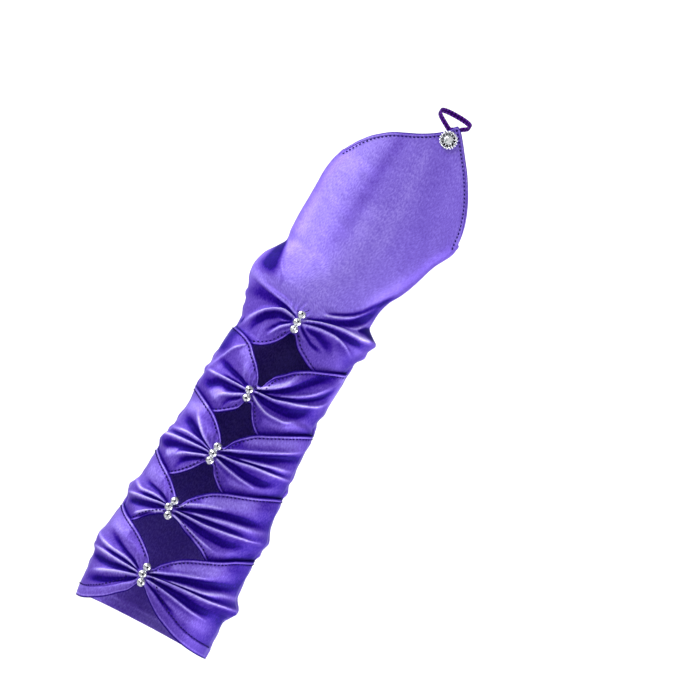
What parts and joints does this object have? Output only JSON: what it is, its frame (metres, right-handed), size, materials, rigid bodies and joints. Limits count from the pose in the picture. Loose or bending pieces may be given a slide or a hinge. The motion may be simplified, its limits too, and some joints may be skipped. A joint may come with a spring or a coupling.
{
  "type": "long fingerless evening glove",
  "caption": "Elbow-length fingerless satin glove for the left hand, with a pointed back and finger loop, beaded bow gathers and diamond cut-outs down the forearm.",
  "frame": {"origin": "centre of the wrist, inside the sleeve", "axes": "+Z along the forearm towards the fingers, -Y out of the back of the hand, +X to the thumb side"},
  "size_m": [0.0993, 0.0843, 0.3456],
  "materials": {
    "satin": "glossy satin weave",
    "silver": "bright silver plate",
    "cut_stone": "clear, cut and polished",
    "elastic": "woven elastic ribbon"
  },
  "bodies": {
    "root": {"hand_panel": "satin", "bow_band_2": "satin", "bow_band_3": "satin", "bow_band_4": "satin", "bow_band_5": "satin", "palm_panel": "satin", "bow_bead_1_1": "silver", "bow_bead_1_2": "silver", "bow_bead_1_3": "silver", "bow_bead_2_1": "silver", "bow_bead_2_2": "silver", "bow_bead_3_1": "silver", "bow_bead_3_2": "silver", "bow_bead_3_3": "silver", "bow_bead_4_1": "silver", "bow_bead_4_2": "silver", "bow_bead_4_3": "silver", "bow_bead_5_1": "silver", "bow_bead_5_2": "silver", "bow_bead_5_3": "silver", "button_setting": "silver", "button_stone": "cut_stone", "finger_loop": "elastic"}
  },
  "joints": []
}
